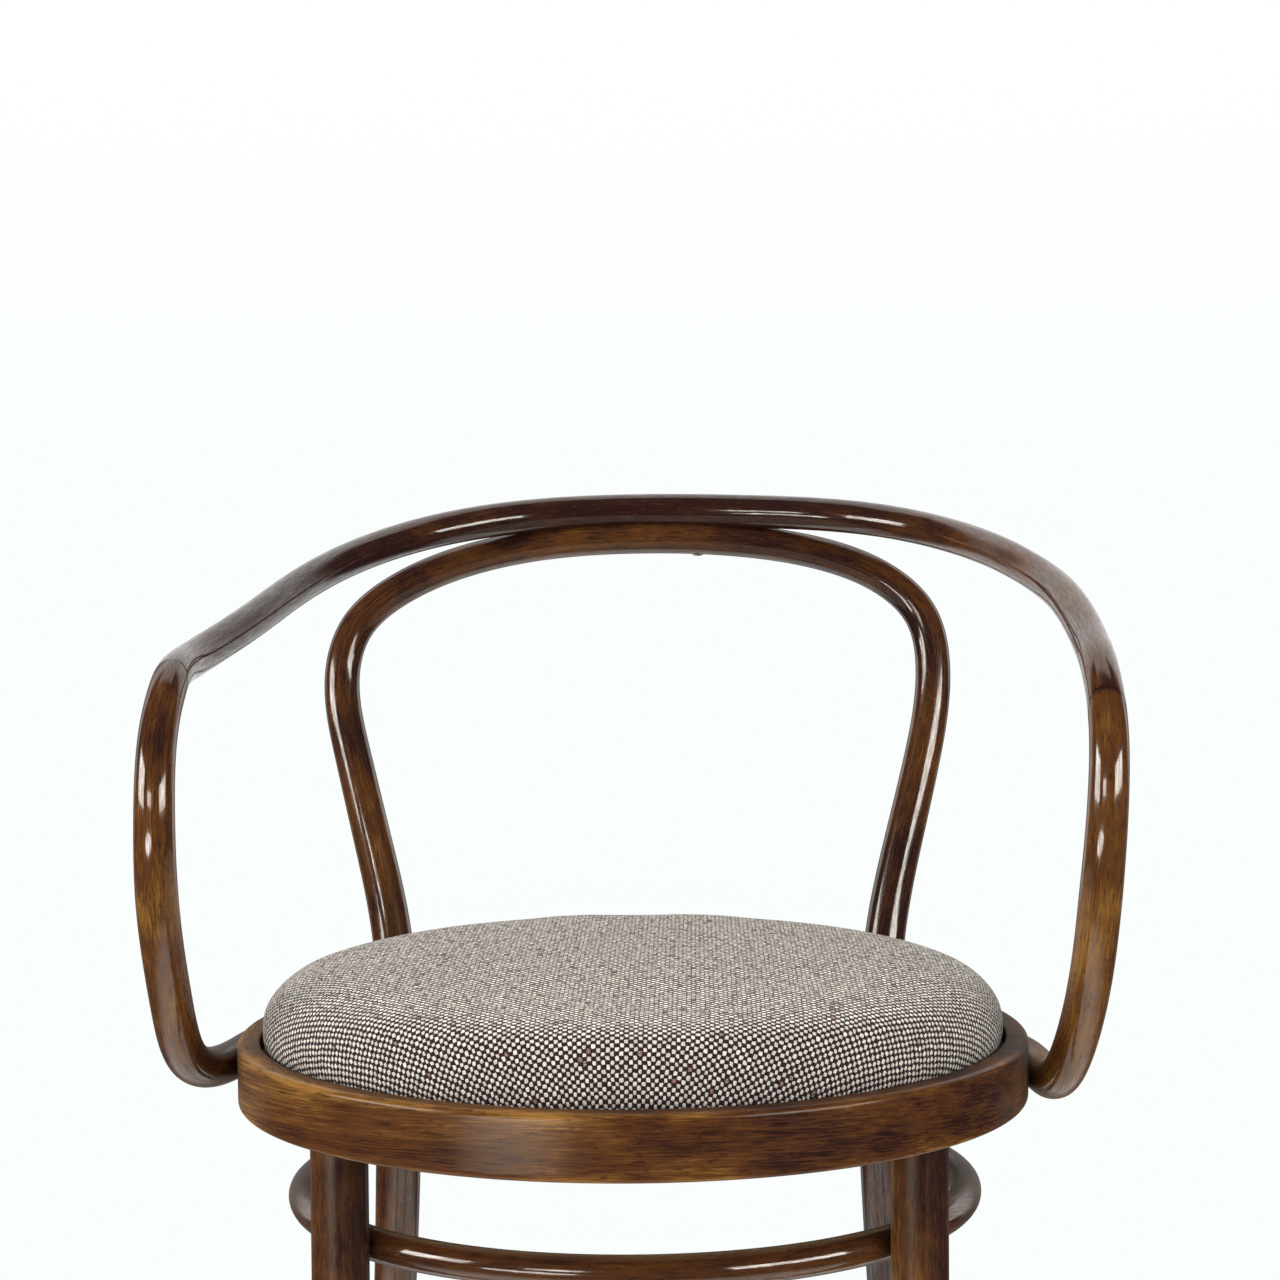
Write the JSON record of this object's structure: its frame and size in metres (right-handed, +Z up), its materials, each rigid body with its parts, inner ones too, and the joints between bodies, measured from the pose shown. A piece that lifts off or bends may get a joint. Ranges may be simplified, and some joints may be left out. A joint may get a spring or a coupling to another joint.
{
  "type": "bentwood armchair",
  "caption": "Bentwood armchair with a round padded seat, an arched inner back, and one bent rail that makes the top of the back and both arms.",
  "frame": {"origin": "on the floor under the middle of the chair's overall box", "axes": "+Z is up, -Y is the way the sitter faces, +X is to the right in the picture"},
  "size_m": [0.5283, 0.4953, 0.7501],
  "materials": {
    "stained_beech": "dark walnut stain under gloss lacquer",
    "tweed": "coarse cream and brown basket weave",
    "foam": "plain cut foam",
    "plywood": "bare",
    "steel": "dull, aged",
    "glide_plastic": "matt"
  },
  "bodies": {
    "root": {"arm_hoop": "stained_beech", "arm_screw_left_front": "steel", "arm_screw_left_rear": "steel", "arm_screw_right_front": "steel", "arm_screw_right_rear": "steel", "arm_upright_left": "stained_beech", "arm_upright_right": "stained_beech", "back_hoop": "stained_beech", "brace_screw_front_left": "steel", "brace_screw_front_right": "steel", "brace_screw_rear_left": "steel", "brace_screw_rear_right": "steel", "foot_glide_front_left": "glide_plastic", "foot_glide_front_right": "glide_plastic", "foot_glide_rear_left": "glide_plastic", "foot_glide_rear_right": "glide_plastic", "front_leg_left": "stained_beech", "front_leg_right": "stained_beech", "hoop_screw_left": "steel", "hoop_screw_right": "steel", "leg_ring": "stained_beech", "rear_bolt_left": "steel", "rear_bolt_right": "steel", "rear_nut_left": "steel", "rear_nut_right": "steel", "rear_washer_left": "steel", "rear_washer_right": "steel", "seat_cover": "tweed", "seat_foam": "foam", "seat_panel": "plywood", "seat_ring": "stained_beech", "seat_screw_front": "steel", "seat_screw_left": "steel", "seat_screw_rear": "steel", "seat_screw_right": "steel"}
  },
  "joints": []
}
